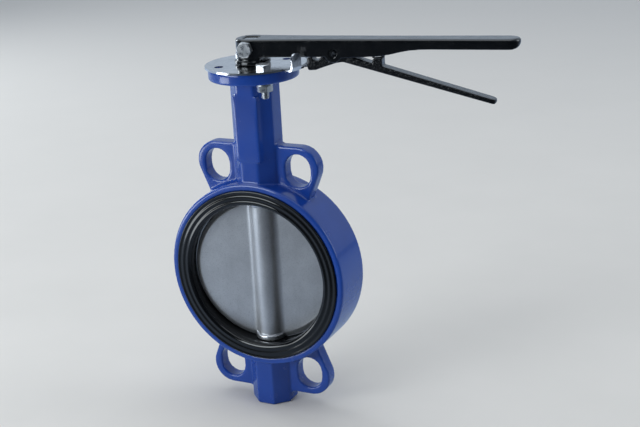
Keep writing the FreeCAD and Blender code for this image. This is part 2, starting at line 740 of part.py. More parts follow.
NODES = {
    "valve_body": valve_body,
    "seat_liner": seat_liner,
    "upper_bushing": lambda: bushing(UPPER_BUSH),
    "middle_bushing": lambda: bushing(MIDDLE_BUSH),
    "lower_bushing": lambda: bushing(LOWER_BUSH),
    "stem_o_rings": stem_o_rings,
    "thrust_washer": thrust_washer,
    "bottom_plug": bottom_plug,
    "plug_o_ring": plug_o_ring,
    "notch_plate": notch_plate,
    "plate_bolts": plate_bolts,
    "plate_washers": plate_washers,
    "plate_nuts": plate_nuts,
    "disc": disc,
    "upper_stem": upper_stem,
    "lower_stem": lower_stem,
    "retaining_ring": retaining_ring,
    "lever_handle": lever_handle,
    "lever_set_bolt": lever_set_bolt,
    "trigger_pin": trigger_pin,
    "trigger_latch": trigger_latch,
    "trigger_spring": trigger_spring,
}

for name, build in NODES.items():
    shape = build()
    solids = shape.Solids
    print(name, len(solids), "solids", shape.isValid(), round(shape.Volume))
    whole = solids[0] if len(solids) == 1 else Part.makeCompound(solids)
    whole.exportStep(f"parts/{name}.step")
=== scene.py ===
"""Studio scene of a lever-operated wafer butterfly valve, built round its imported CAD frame."""

import math

import bmesh
import bpy
from mathutils import Matrix, Vector


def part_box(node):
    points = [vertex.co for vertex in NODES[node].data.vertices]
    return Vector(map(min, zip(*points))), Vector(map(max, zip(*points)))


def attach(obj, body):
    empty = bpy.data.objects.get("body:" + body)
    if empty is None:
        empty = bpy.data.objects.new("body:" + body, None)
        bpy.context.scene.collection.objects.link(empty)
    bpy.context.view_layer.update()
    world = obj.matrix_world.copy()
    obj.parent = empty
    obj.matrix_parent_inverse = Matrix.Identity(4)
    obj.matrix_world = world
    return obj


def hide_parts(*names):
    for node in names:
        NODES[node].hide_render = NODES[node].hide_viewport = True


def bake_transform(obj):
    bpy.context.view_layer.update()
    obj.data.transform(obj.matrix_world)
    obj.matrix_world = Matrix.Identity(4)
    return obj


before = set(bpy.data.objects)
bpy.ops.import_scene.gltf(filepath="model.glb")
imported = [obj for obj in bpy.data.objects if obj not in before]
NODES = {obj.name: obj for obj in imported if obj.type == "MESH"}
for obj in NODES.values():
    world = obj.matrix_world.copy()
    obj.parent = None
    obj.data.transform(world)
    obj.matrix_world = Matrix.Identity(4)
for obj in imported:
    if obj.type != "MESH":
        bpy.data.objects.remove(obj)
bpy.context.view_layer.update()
MM = 0.001

# Places taken from the frame, in metres
REST_OPEN = math.radians(10.0)
FOOT_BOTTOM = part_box("valve_body")[0].z
SPRING_LOW, SPRING_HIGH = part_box("trigger_spring")
SEAT_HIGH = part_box("seat_liner")[1]

# Mesh fineness in metres, rounds of softening, and the angle in degrees that still shades sharp
BODY_VOXEL, BODY_ROUNDS = 1.1 * MM, 5
LEVER_VOXEL, LEVER_ROUNDS = 0.75 * MM, 10
TRIGGER_VOXEL, TRIGGER_ROUNDS = 0.6 * MM, 9
DISC_VOXEL, DISC_ROUNDS = 0.8 * MM, 3
SOFTEN = 0.5
CAST_ANGLE, TRIGGER_ANGLE = 55.0, 60.0
MESH_ANGLE, LATHE_ANGLE, COIL_ANGLE, BOLT_ANGLE = 40.0, 35.0, 60.0, 30.0
LATHE_STEPS = 192

# Paints and metals, linear colour
BLUE = (0.0090, 0.0560, 0.3300, 1.0)
BLUE_DEEP = (0.0070, 0.0440, 0.2700, 1.0)
BLUE_THIN = (0.0400, 0.1100, 0.4200, 1.0)
BLACK = (0.0022, 0.0026, 0.0032, 1.0)
BLACK_DUST = (0.0120, 0.0130, 0.0160, 1.0)
RUBBER = (0.0022, 0.0026, 0.0031, 1.0)
RUBBER_WORN = (0.0045, 0.0050, 0.0060, 1.0)
DISC_GREY = (0.525, 0.54, 0.565, 1.0)
DISC_STAIN = (0.43, 0.44, 0.465, 1.0)
DISC_SPECK = (0.28, 0.29, 0.31, 1.0)
DISC_TURNED = (0.86, 0.87, 0.89, 1.0)
ZINC = (0.76, 0.77, 0.78, 1.0)
PLATE = (0.80, 0.81, 0.83, 1.0)
STEEL = (0.56, 0.57, 0.58, 1.0)
SPRING_STEEL = (0.035, 0.036, 0.04, 1.0)
PLASTIC = (0.62, 0.60, 0.55, 1.0)

# Noise values at which a patch starts and ends, and how dull the clouds of a plated face are
PATCH_LOW, PATCH_HIGH, METAL_PATCH_HIGH = 0.3, 0.75, 0.8
CLOUD_DULL = 0.72

# Floor: colours as seen, with painted light that turns it lighter far from the valve; painted reflection
# colours that glossy rays see instead; and where one runs into the other
FLOOR = (0.725, 0.668, 0.610, 1.0)
FLOOR_DIM = (0.695, 0.642, 0.585, 1.0)
# Painted light: far from the valve the floor turns to this lighter colour, making up for lamp light that
# falls off
FLOOR_PAINTED_FAR_LIGHT = (0.800, 0.745, 0.690, 1.0)
FLOOR_REACH = 2.6
FLOOR_HALF = 14.0
# Painted reflection colours: glossy rays see the floor in these, not in its own colour
FLOOR_PAINTED_REFLECTION_PALE = (0.420, 0.480, 0.580, 1.0)
FLOOR_PAINTED_REFLECTION_DARK = (0.030, 0.040, 0.055, 1.0)
FADE_TOWARD = (-0.6, 0.8, 0.0)
FADE_OFFSET = 0.5
FADE_DARK_AT, FADE_BRIGHT_AT = 0.10, 0.44

# Room light, linear colour
ROOM_DARK = (0.030, 0.040, 0.055, 1.0)
ROOM_BRIGHT = (0.46, 0.54, 0.64, 1.0)
ROOM_SEEN = (0.27, 0.31, 0.35, 1.0)
ROOM_DARK_AT, ROOM_BRIGHT_AT = 0.0, 0.55
ROOM_SLOPE = (0.0, 0.5, 0.5)
DAYLIGHT = (0.86, 0.94, 1.0)
CEILING_LIGHT = (0.90, 0.96, 1.0)
VALVE_MIDDLE = (0.05, 0.0, 0.05)


# ---------------------------------------------------------------- materials


class Surface:
    """Small builder for a node material with object coordinates."""

    def __init__(self, name, colour, rough, metal=0.0):
        self.material = bpy.data.materials.new(name)
        self.material.use_nodes = True
        self.nodes = self.material.node_tree.nodes
        self.links = self.material.node_tree.links
        self.shader = self.nodes["Principled BSDF"]
        self.shader.inputs["Base Color"].default_value = colour
        self.shader.inputs["Roughness"].default_value = rough
        self.shader.inputs["Metallic"].default_value = metal
        coords = self.nodes.new("ShaderNodeTexCoord")
        self.place = coords.outputs["Object"]
        self.normal = None

    def set(self, **values):
        """Set the shader's own sockets by name."""
        for key, value in values.items():
            self.shader.inputs[key.replace("_", " ")].default_value = value
        return self

    def noise(self, size_mm, detail=3.0, rough=0.55, stretch=None):
        """Noise whose features are about size_mm wide."""
        source = self.place
        if stretch:
            mapping = self.nodes.new("ShaderNodeMapping")
            mapping.inputs["Scale"].default_value = stretch
            self.links.new(source, mapping.inputs["Vector"])
            source = mapping.outputs["Vector"]
        node = self.nodes.new("ShaderNodeTexNoise")
        node.inputs["Scale"].default_value = 1.0 / (size_mm * MM)
        node.inputs["Detail"].default_value = detail
        node.inputs["Roughness"].default_value = rough
        self.links.new(source, node.inputs["Vector"])
        return node.outputs["Fac"]

    def ramp(self, source, *stops):
        """Colour ramp from (position, colour or grey) stops."""
        node = self.nodes.new("ShaderNodeValToRGB")
        ramp = node.color_ramp
        while len(ramp.elements) < len(stops):
            ramp.elements.new(0.5)
        for element, (position, colour) in zip(ramp.elements, stops):
            element.position = position
            grey = isinstance(colour, (int, float))
            element.color = (colour, colour, colour, 1.0) if grey else colour
        self.links.new(source, node.inputs["Fac"])
        return node.outputs["Color"]

    def math(self, kind, a, b=None, clamp=False):
        node = self.nodes.new("ShaderNodeMath")
        node.operation = kind
        node.use_clamp = clamp
        for slot, value in zip(node.inputs, (a, b)):
            if isinstance(value, (int, float)):
                slot.default_value = value
            elif value is not None:
                self.links.new(value, slot)
        return node.outputs["Value"]

    def vector_math(self, kind, a, b=None):
        node = self.nodes.new("ShaderNodeVectorMath")
        node.operation = kind
        self.links.new(a, node.inputs[0])
        if b is not None:
            node.inputs[1].default_value = b
        return node.outputs["Value"]

    def mix(self, factor, a, b):
        """Blend of two colours by a factor socket."""
        node = self.nodes.new("ShaderNodeMix")
        node.data_type = "RGBA"
        self.links.new(factor, node.inputs["Factor"])
        for slot, value in ((node.inputs["A"], a), (node.inputs["B"], b)):
            if isinstance(value, tuple):
                slot.default_value = value
            else:
                self.links.new(value, slot)
        return node.outputs["Result"]

    def edges(self, low, high):
        """1 on sharp outer edges and 0 elsewhere."""
        geometry = self.nodes.new("ShaderNodeNewGeometry")
        return self.ramp(geometry.outputs["Pointiness"], (low, 0.0), (high, 1.0))

    def bump(self, height, depth_mm):
        """Add relief from a height socket to what is already there."""
        node = self.nodes.new("ShaderNodeBump")
        node.inputs["Strength"].default_value = 1.0
        node.inputs["Distance"].default_value = depth_mm * MM
        self.links.new(height, node.inputs["Height"])
        if self.normal is not None:
            self.links.new(self.normal, node.inputs["Normal"])
        self.normal = node.outputs["Normal"]
        self.links.new(self.normal, self.shader.inputs["Normal"])
        return self

    def colour(self, socket):
        """Drive the base colour."""
        self.links.new(socket, self.shader.inputs["Base Color"])
        return self

    def rough(self, socket):
        """Drive the roughness."""
        self.links.new(socket, self.shader.inputs["Roughness"])
        return self

    def patchy(self, size_mm, detail, smooth, dull, end=PATCH_HIGH):
        """Roughness that wanders between two values in patches."""
        return self.rough(self.ramp(self.noise(size_mm, detail), (PATCH_LOW, smooth), (end, dull)))


def blue_paint():
    """Sprayed gloss enamel over an iron casting: orange peel, soft casting waves, thin edges."""
    s = Surface("blue_paint", BLUE, rough=0.2)
    s.set(Specular_IOR_Level=0.35, Coat_Weight=0.5, Coat_Roughness=0.05, Coat_IOR=1.5)
    cloud = s.noise(60.0, detail=2.0)
    shade = s.mix(s.ramp(cloud, (0.35, 0.0), (0.68, 1.0)), BLUE_DEEP, BLUE)
    s.colour(s.mix(s.math("MULTIPLY", s.edges(0.50, 0.60), 0.3), shade, BLUE_THIN))
    s.patchy(16.0, detail=4.0, smooth=0.18, dull=0.30)
    s.bump(s.noise(12.0, detail=2.0), depth_mm=0.16)
    s.bump(s.noise(2.2, detail=2.0), depth_mm=0.020)
    return s.material


def black_paint(name, grain_mm, depth_mm, wave_mm=0.2):
    """Black enamel over a rough casting, finely grained and gently wavy."""
    s = Surface(name, BLACK, rough=0.2)
    s.set(Specular_IOR_Level=0.4, Coat_Weight=0.5, Coat_Roughness=0.05)
    dust = s.ramp(s.noise(5.0, detail=5.0, rough=0.7), (0.55, 0.0), (0.78, 1.0))
    s.colour(s.mix(s.math("MULTIPLY", dust, 0.4), BLACK, BLACK_DUST))
    s.patchy(11.0, detail=4.0, smooth=0.14, dull=0.30)
    s.bump(s.noise(12.0, detail=2.0), wave_mm)
    s.bump(s.noise(grain_mm, detail=3.0), depth_mm)
    return s.material


def seat_rubber():
    """Glossy moulded black rubber."""
    s = Surface("seat_rubber", RUBBER, rough=0.14)
    s.set(Specular_IOR_Level=0.34, Coat_Weight=0.2, Coat_Roughness=0.05)
    worn = s.ramp(s.noise(14.0, detail=4.0), (0.45, 0.0), (0.80, 1.0))
    s.colour(s.mix(worn, RUBBER, RUBBER_WORN))
    s.patchy(18.0, detail=3.0, smooth=0.09, dull=0.17)
    s.bump(s.noise(1.2, detail=2.0), depth_mm=0.0015)
    return s.material


def ring_rubber():
    """Dull black rubber of the O-rings."""
    s = Surface("ring_rubber", RUBBER, rough=0.45)
    s.bump(s.noise(1.2, detail=3.0), depth_mm=0.03)
    return s.material


def blasted_metal():
    """Bead-blasted stainless casting, dull and finely pitted."""
    s = Surface("disc_metal", DISC_GREY, rough=0.45, metal=0.75)
    stain = s.ramp(s.noise(26.0, detail=5.0, rough=0.6), (PATCH_LOW, 0.0), (0.7, 1.0))
    speck = s.ramp(s.noise(0.9, detail=2.0), (0.36, 1.0), (0.46, 0.0))
    tone = s.mix(stain, DISC_STAIN, DISC_GREY)
    s.colour(s.mix(s.math("MULTIPLY", speck, 0.45), tone, DISC_SPECK))
    s.patchy(3.0, detail=5.0, smooth=0.36, dull=0.50)
    s.bump(s.noise(0.75, detail=3.0), depth_mm=0.05)
    s.bump(s.noise(9.0, detail=2.0), depth_mm=0.06)
    return s.material


def turned_metal(name, colour, rough, pitch_mm):
    """Turned steel: fine rings along the stem's axis."""
    s = Surface(name, colour, rough, metal=1.0)
    split = s.nodes.new("ShaderNodeSeparateXYZ")
    s.links.new(s.place, split.inputs["Vector"])
    wave = s.math("SINE", s.math("MULTIPLY", split.outputs["Z"], 2 * math.pi / (pitch_mm * MM)))
    s.bump(wave, depth_mm=0.008)
    s.patchy(3.0, detail=4.0, smooth=rough * 0.7, dull=rough * 1.5, end=METAL_PATCH_HIGH)
    return s.material


def plated_steel(name, colour, rough, size_mm=6.0):
    """Zinc plate: bright, faintly cloudy, with hairline scratches and dull patches."""
    s = Surface(name, colour, rough, metal=1.0)
    cloud = s.ramp(s.noise(size_mm, detail=5.0, rough=0.65), (PATCH_LOW, 0.0), (PATCH_HIGH, 1.0))
    dull = tuple(c * CLOUD_DULL for c in colour[:3]) + (1.0,)
    s.colour(s.mix(cloud, dull, colour))
    s.patchy(size_mm * 0.6, detail=5.0, smooth=rough * 0.7, dull=rough * 1.8, end=METAL_PATCH_HIGH)
    s.bump(s.noise(0.35, detail=2.0, rough=0.5, stretch=(1.0, 14.0, 1.0)), depth_mm=0.006)
    s.bump(s.noise(4.0, detail=2.0), depth_mm=0.03)
    return s.material


def bearing_plastic():
    """Cream plastic of the stem bushings."""
    s = Surface("bearing_plastic", PLASTIC, rough=0.4)
    s.bump(s.noise(0.8, detail=3.0), depth_mm=0.02)
    return s.material


def spring_wire():
    """Dark drawn wire."""
    s = Surface("spring_wire", SPRING_STEEL, rough=0.32, metal=0.6)
    s.patchy(2.0, detail=4.0, smooth=0.22, dull=0.42)
    s.bump(s.noise(0.6, detail=2.0), depth_mm=0.01)
    return s.material


def floor_material():
    """Pale matt paper with the faintest mottling, painted lighter with distance from the valve. Painted
    reflection: glossy rays see it dark in front of the valve and to its right, cool and pale behind it and
    to its left.
    """
    s = Surface("floor_paper", FLOOR, rough=0.75)
    tone = s.ramp(s.noise(160.0), (PATCH_LOW, 0.0), (0.7, 1.0))
    near = s.mix(tone, FLOOR_DIM, FLOOR)
    reach = s.vector_math("LENGTH", s.place)
    # Painted light: the paper grows lighter with distance from the valve
    paper = s.mix(s.math("MULTIPLY", reach, 1.0 / FLOOR_REACH, True), near, FLOOR_PAINTED_FAR_LIGHT)
    # Painted reflection: glossy rays see a floor that is dark in front of the valve and cool and pale behind
    # it
    lean = s.math("ADD", s.vector_math("DOT_PRODUCT", s.place, FADE_TOWARD), FADE_OFFSET)
    painted_reflection = s.ramp(lean, (FADE_DARK_AT, FLOOR_PAINTED_REFLECTION_DARK), (FADE_BRIGHT_AT, FLOOR_PAINTED_REFLECTION_PALE))
    ray = s.nodes.new("ShaderNodeLightPath")
    s.colour(s.mix(ray.outputs["Is Glossy Ray"], paper, painted_reflection))
    s.bump(s.noise(3.0), depth_mm=0.05)
    return s.material


# ---------------------------------------------------------------- mesh tools


def link(obj):
    """Put an object into the scene."""
    bpy.context.scene.collection.objects.link(obj)
    return obj


def settle(obj):
    """Replace an object's mesh with the result of its modifiers."""
    bpy.context.view_layer.update()
    graph = bpy.context.evaluated_depsgraph_get()
    mesh = bpy.data.meshes.new_from_object(obj.evaluated_get(graph))
    obj.modifiers.clear()
    obj.data = mesh
    mesh.name = obj.name
    return obj


def smooth_shade(mesh, angle):
    """Shade smooth, but for edges sharper than an angle in degrees."""
    mesh.polygons.foreach_set("use_smooth", [True] * len(mesh.polygons))
    mesh.set_sharp_from_angle(angle=math.radians(angle))
    mesh.update()


def mesh_object(name, points, faces, material, angle=MESH_ANGLE):
    """Object from points and faces, with its faces turned outward."""
    mesh = bpy.data.meshes.new(name)
    mesh.from_pydata([tuple(p) for p in points], [], faces)
    mesh.validate()
    fix = bmesh.new()
    fix.from_mesh(mesh)
    bmesh.ops.recalc_face_normals(fix, faces=fix.faces)
    fix.to_mesh(mesh)
    fix.free()
    mesh.materials.append(material)
    smooth_shade(mesh, angle)
    return link(bpy.data.objects.new(name, mesh))


def cast_copy(name, node, voxel, rounds, material, angle=CAST_ANGLE):
    """Copy of a CAD node with its edges and corners softened like a casting."""
    piece = link(bpy.data.objects.new(name, NODES[node].data.copy()))
    remesh = piece.modifiers.new("Remesh", "REMESH")
    remesh.mode = "VOXEL"
    remesh.voxel_size = voxel
    smooth = piece.modifiers.new("Smooth", "SMOOTH")
    smooth.factor = SOFTEN
    smooth.iterations = rounds
    settle(piece)
    piece.data.materials.clear()
    piece.data.materials.append(material)
    smooth_shade(piece.data, angle)
    return piece


def grid_faces(rows, columns, closed_rows=False):
    """Quads over stacked rings of points stored row by row."""
    faces = []
    for i in range(rows if closed_rows else rows - 1):
        for j in range(columns):
            a = i * columns + j
            b = i * columns + (j + 1) % columns
            c = ((i + 1) % rows) * columns + (j + 1) % columns
            d = ((i + 1) % rows) * columns + j
            faces.append((a, b, c, d))
    return faces


def lathe_about_y(name, outline, material):
    """Closed ring from an outline of (radius, y) in millimetres."""
    points = []
    for r, y in outline:
        for j in range(LATHE_STEPS):
            a = 2 * math.pi * j / LATHE_STEPS
            points.append((r * MM * math.cos(a), y * MM, r * MM * math.sin(a)))
    faces = grid_faces(len(outline), LATHE_STEPS, closed_rows=True)
    return mesh_object(name, points, faces, material, LATHE_ANGLE)


CORNER_STEPS = 7
CORNER_SHARE = 0.48
CORNER_LEAST = 1e-4


def rounded(corners, radii):
    """Closed outline with each corner replaced by an arc-like curve of its own radius."""
    out = []
    count = len(corners)
    for i in range(count):
        here = Vector(corners[i])
        before = Vector(corners[i - 1]) - here
        after = Vector(corners[(i + 1) % count]) - here
        reach = min(radii[i], before.length * CORNER_SHARE, after.length * CORNER_SHARE)
        if reach < CORNER_LEAST:
            out.append(tuple(here))
            continue
        start = here + before.normalized() * reach
        end = here + after.normalized() * reach
        for k in range(CORNER_STEPS + 1):
            t = k / CORNER_STEPS
            p = start * (1 - t) ** 2 + here * 2 * t * (1 - t) + end * t ** 2
            out.append(tuple(p))
    return out


# ---------------------------------------------------------------- fasteners

HEX_STEPS = 96
HEX_FACE_SHARE = 0.95
HEX_CHAMFER = math.radians(30.0)
THREAD_STEPS = 48
THREAD_ROWS = 10
THREAD_GAIN, THREAD_ROOT = 1.35, 0.12


def hex_radius(angle, flats, turn):
    """Distance from the centre to a hexagon's side in this direction."""
    third = math.pi / 3
    local = (angle - turn) % third - third / 2
    return flats / 2 / math.cos(local)


def hex_column(flats, height, turn, chamfer_top, chamfer_low, inner=0.0):
    """Rows of points round a chamfered hexagon, from the lower face to the upper one."""
    slope = math.tan(HEX_CHAMFER)
    flat_r = flats / 2 * HEX_FACE_SHARE
    angles = [2 * math.pi * j / HEX_STEPS for j in range(HEX_STEPS)]
    sides = [hex_radius(a, flats, turn) for a in angles]

    def row(radii, heights):
        return [(r * math.cos(a), r * math.sin(a), z) for r, a, z in zip(radii, angles, heights)]

    def level(z):
        return [z] * HEX_STEPS

    drop = [(r - flat_r) * slope for r in sides]
    low = drop if chamfer_low else level(0.0)
    top = [height - d for d in drop] if chamfer_top else level(height)
    low_r = [flat_r] * HEX_STEPS if chamfer_low else sides
    top_r = [flat_r] * HEX_STEPS if chamfer_top else sides
    rows = [row([inner] * HEX_STEPS, level(0.0)), row(low_r, level(0.0))]
    if chamfer_low:
        rows.append(row(sides, low))
    rows.append(row(sides, top))
    if chamfer_top:
        rows.append(row(top_r, level(height)))
    rows.append(row([inner] * HEX_STEPS, level(height)))
    return rows


def thread_rows(radius, pitch, low, high, depth, chamfer):
    """Rows of a threaded rod's surface, with a tapered end at low."""
    rows = []
    count = int((high - low) / (pitch / THREAD_ROWS)) + 1
    for i in range(count + 1):
        z = low + (high - low) * i / count
        row = []
        for j in range(THREAD_STEPS):
            a = 2 * math.pi * j / THREAD_STEPS
            phase = ((z / pitch) - j / THREAD_STEPS) % 1.0
            ridge = 1.0 - abs(2 * phase - 1.0)
            crest = min(1.0, max(0.0, ridge * THREAD_GAIN - THREAD_ROOT))
            taper = min(radius, radius - chamfer + (z - low))
            r = min(radius - depth * (1 - crest), taper)
            row.append((r * math.cos(a), r * math.sin(a), z))
        rows.append(row)
    return rows


def part_from_rows(rows, capped=False, closed=False):
    """Points and faces of stacked rings of equal length."""
    columns = len(rows[0])
    points = [p for row in rows for p in row]
    faces = grid_faces(len(rows), columns, closed)
    if capped:
        faces.append(tuple(range(columns)))
        faces.append(tuple((len(rows) - 1) * columns + j for j in range(columns)))
    return points, faces


def merge_parts(parts):
    """Join several sets of points and faces into one."""
    points, faces = [], []
    for more_points, more_faces in parts:
        base = len(points)
        points += more_points
        faces += [tuple(i + base for i in face) for face in more_faces]
    return points, faces


def placed(part, matrix):
    """Part drawn in millimetres, moved to its place in metres."""
    points, faces = part
    return [matrix @ (Vector(p) * MM) for p in points], faces


def shift(x, y, z):
    """Translation to a place in metres."""
    return Matrix.Translation(Vector((x, y, z)))


# ---------------------------------------------------------------- pieces

NECK_FACE = 23.0 * MM
PAD_HALF = 16.0 * MM
PAD_PROUD_MOST = 2 * MM
PAD_FADE_LOW, PAD_FADE_HIGH = 160.0 * MM, 192.0 * MM
PAD_FADE_RATE = 1.25


def fade_pad(mesh):
    """Run the neck's raised panel out smoothly at its upper end."""
    for vertex in mesh.vertices:
        p = vertex.co
        proud = -p.y - NECK_FACE
        on_pad = 0 < proud < PAD_PROUD_MOST and abs(p.x) < PAD_HALF
        if on_pad and PAD_FADE_LOW < p.z < PAD_FADE_HIGH:
            t = (p.z - PAD_FADE_LOW) / (PAD_FADE_HIGH - PAD_FADE_LOW)
            p.y = -NECK_FACE - proud * max(0.0, 1.0 - PAD_FADE_RATE * t)


def body_piece(material):
    """Ring, lugs, neck, foot and top flange, one casting."""
    piece = cast_copy("body_casting", "valve_body", BODY_VOXEL, BODY_ROUNDS, material)
    fade_pad(piece.data)
    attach(piece, "body")
    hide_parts("valve_body")
    return piece


def lever_piece(material):
    """Channel-shaped lever with its solid head."""
    piece = cast_copy("lever_casting", "lever_handle", LEVER_VOXEL, LEVER_ROUNDS, material)
    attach(piece, "rotor")
    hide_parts("lever_handle")
    return piece


ARM_TIP = 239.9 * MM
ARM_TIP_R = 5.5 * MM
ARM_TIP_BLUNT = 0.06


def round_tip(mesh):
    """Round the plan outline of the finger arm's end."""
    along = Vector((math.cos(REST_OPEN), math.sin(REST_OPEN), 0))
    across = Vector((-along.y, along.x, 0))
    for vertex in mesh.vertices:
        t = (vertex.co.dot(along) - ARM_TIP + ARM_TIP_R) / ARM_TIP_R
        if t > 0:
            side = vertex.co.dot(across)
            vertex.co += across * side * (math.sqrt(max(ARM_TIP_BLUNT, 1.0 - t * t)) - 1.0)


def trigger_piece(material):
    """Latch with its long finger arm."""
    piece = cast_copy(
        "trigger_casting", "trigger_latch", TRIGGER_VOXEL, TRIGGER_ROUNDS, material, TRIGGER_ANGLE)
    round_tip(piece.data)
    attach(piece, "trigger")
    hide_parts("trigger_latch")
    return piece


HUB_RING_Z = 71.2 * MM
HUB_RING_R = 16.8 * MM


def disc_piece(blasted, machined):
    """Disc casting with turned rings at both ends of its hub."""
    piece = cast_copy("disc_casting", "disc", DISC_VOXEL, DISC_ROUNDS, blasted)
    piece.data.materials.append(machined)
    for face in piece.data.polygons:
        c = face.center
        if abs(c.z) > HUB_RING_Z and math.hypot(c.x, c.y) < HUB_RING_R:
            face.material_index = 1
    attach(piece, "rotor")
    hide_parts("disc")
    return piece


# Front half of the seat's outline in millimetres: radius, y, rounding of the corner
SEAT_FACE = -SEAT_HIGH.y / MM
SEAT_HEEL = [(84.0, -21.5, 0.4), (89.9, -21.5, 0.4), (91.3, -26.6, 0.4), (90.9, SEAT_FACE + 0.3, 0.3)]
SEAT_LIP = [(76.1, SEAT_FACE + 1.4, 2.2), (75.3, SEAT_FACE + 4.6, 2.0), (75.25, -21.2, 2.0)]
SEAT_BORE = [(75.75, -19.0, 2.0), (76.85, -14.0, 2.5), (77.65, -8.0, 3.0), (78.0, -2.0, 3.0)]
RIB_OUTER, RIB_INNER = 90.2, 79.0
RIB_COUNT, RIB_DEPTH, RIB_STEPS = 2, 0.48, 48


def seat_ribs():
    """Sealing face of the seat, two soft grooves in section."""
    ribs = []
    for i in range(RIB_STEPS + 1):
        t = i / RIB_STEPS
        dip = RIB_DEPTH / 2 * (1 - math.cos(2 * math.pi * RIB_COUNT * t))
        ribs.append((RIB_OUTER + (RIB_INNER - RIB_OUTER) * t, SEAT_FACE + dip, 0.0))
    return ribs


def seat_piece(material):
    """Rubber seat turned from one outline, with ribbed faces and rounded lips."""
    front = SEAT_HEEL + seat_ribs() + SEAT_LIP + SEAT_BORE
    back = [(r, -y, c) for r, y, c in reversed(front)]
    corners = front + back
    outline = rounded([(r, y) for r, y, _ in corners], [c for _, _, c in corners])
    piece = lathe_about_y("seat_rubber", outline, material)
    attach(piece, "body")
    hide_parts("seat_liner")
    return piece


SPRING_TURNS = 5.5
SPRING_DEAD_TURNS = 0.8
SPRING_WIRE_R = 0.75 * MM
SPRING_AROUND, SPRING_PER_TURN = 10, 28


def spring_piece(material):
    """Compression spring between the latch's seat and the lever's roof."""
    centre = (SPRING_LOW + SPRING_HIGH) / 2
    coil_r = (SPRING_HIGH.x - SPRING_LOW.x) / 2 - SPRING_WIRE_R
    low = SPRING_LOW.z + SPRING_WIRE_R
    high = SPRING_HIGH.z - SPRING_WIRE_R
    ring = [2 * math.pi * k / SPRING_AROUND for k in range(SPRING_AROUND)]
    rows = []
    for i in range(int(SPRING_TURNS * SPRING_PER_TURN) + 1):
        turn = i / SPRING_PER_TURN
        a = 2 * math.pi * turn
        ends = min(1.0, max(0.0, (turn - SPRING_DEAD_TURNS) / (SPRING_TURNS - 2 * SPRING_DEAD_TURNS)))
        z = low + (high - low) * ends
        out = Vector((math.cos(a), math.sin(a), 0))
        middle = Vector((centre.x, centre.y, z)) + out * coil_r
        rows.append([
            tuple(middle + (out * math.cos(b) + Vector((0, 0, 1)) * math.sin(b)) * SPRING_WIRE_R)
            for b in ring
        ])
    points, faces = part_from_rows(rows, capped=True)
    piece = mesh_object("trigger_coil", points, faces, material, COIL_ANGLE)
    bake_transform(piece)
    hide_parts("trigger_spring")
    return piece


# M8 bolts and nuts of the notch plate, in millimetres
M8_R, M8_PITCH, M8_THREAD_DEPTH, M8_TIP = 4.0, 1.25, 0.65, 0.9
M8_HEX = 14.0
M8_HEAD = 5.4
M8_NUT = 6.5
M8_NUT_BORE = 4.05
M8_HEAD_TURN = math.radians(55.5)
M8_NUT_TURN = math.radians(13.5)
M8_REACH = 35.0
M8_ANGLES = (-45.0, 135.0)


def m8_places():
    """Plan positions of the two bolts."""
    for degrees in M8_ANGLES:
        a = math.radians(degrees)
        yield Vector((M8_REACH * MM * math.cos(a), M8_REACH * MM * math.sin(a), 0))


def plate_bolt_pieces(material):
    """Bolts with chamfered heads and real threads, one object for both."""
    low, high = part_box("plate_bolts")
    parts = []
    length = (high.z - low.z) / MM
    for place in m8_places():
        head = hex_column(M8_HEX, M8_HEAD, M8_HEAD_TURN, chamfer_top=True, chamfer_low=False)
        parts.append(placed(part_from_rows(head), shift(place.x, place.y, high.z - M8_HEAD * MM)))
        thread = thread_rows(M8_R, M8_PITCH, 0.0, length - M8_HEAD, M8_THREAD_DEPTH, M8_TIP)
        parts.append(placed(part_from_rows(thread, capped=True), shift(place.x, place.y, low.z)))
    piece = mesh_object("plate_bolt_pair", *merge_parts(parts), material, BOLT_ANGLE)
    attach(piece, "body")
    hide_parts("plate_bolts")
    return piece


def plate_nut_pieces(material):
    """Nuts with both faces chamfered, one object for both."""
    low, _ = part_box("plate_nuts")
    parts = []
    for place in m8_places():
        rows = hex_column(M8_HEX, M8_NUT, M8_NUT_TURN, chamfer_top=True, chamfer_low=True, inner=M8_NUT_BORE)
        parts.append(placed(part_from_rows(rows, closed=True), shift(place.x, place.y, low.z)))
    piece = mesh_object("plate_nut_pair", *merge_parts(parts), material, BOLT_ANGLE)
    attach(piece, "body")
    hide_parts("plate_nuts")
    return piece


# Set bolt of the lever's head, in millimetres
SET_BOLT_R, SET_BOLT_PITCH, SET_BOLT_THREAD_DEPTH, SET_BOLT_TIP = 4.95, 1.5, 0.8, 1.0
SET_BOLT_LOW, SET_BOLT_HIGH = -8.2, -0.4
SET_BOLT_HEX = 14.0
SET_BOLT_HEAD = 6.0
SET_BOLT_COLLAR, SET_BOLT_COLLAR_R = 0.5, 6.6
SET_BOLT_TURN = math.radians(-8.0)
SET_BOLT_FACE = 15.8
SET_BOLT_X = -1.5


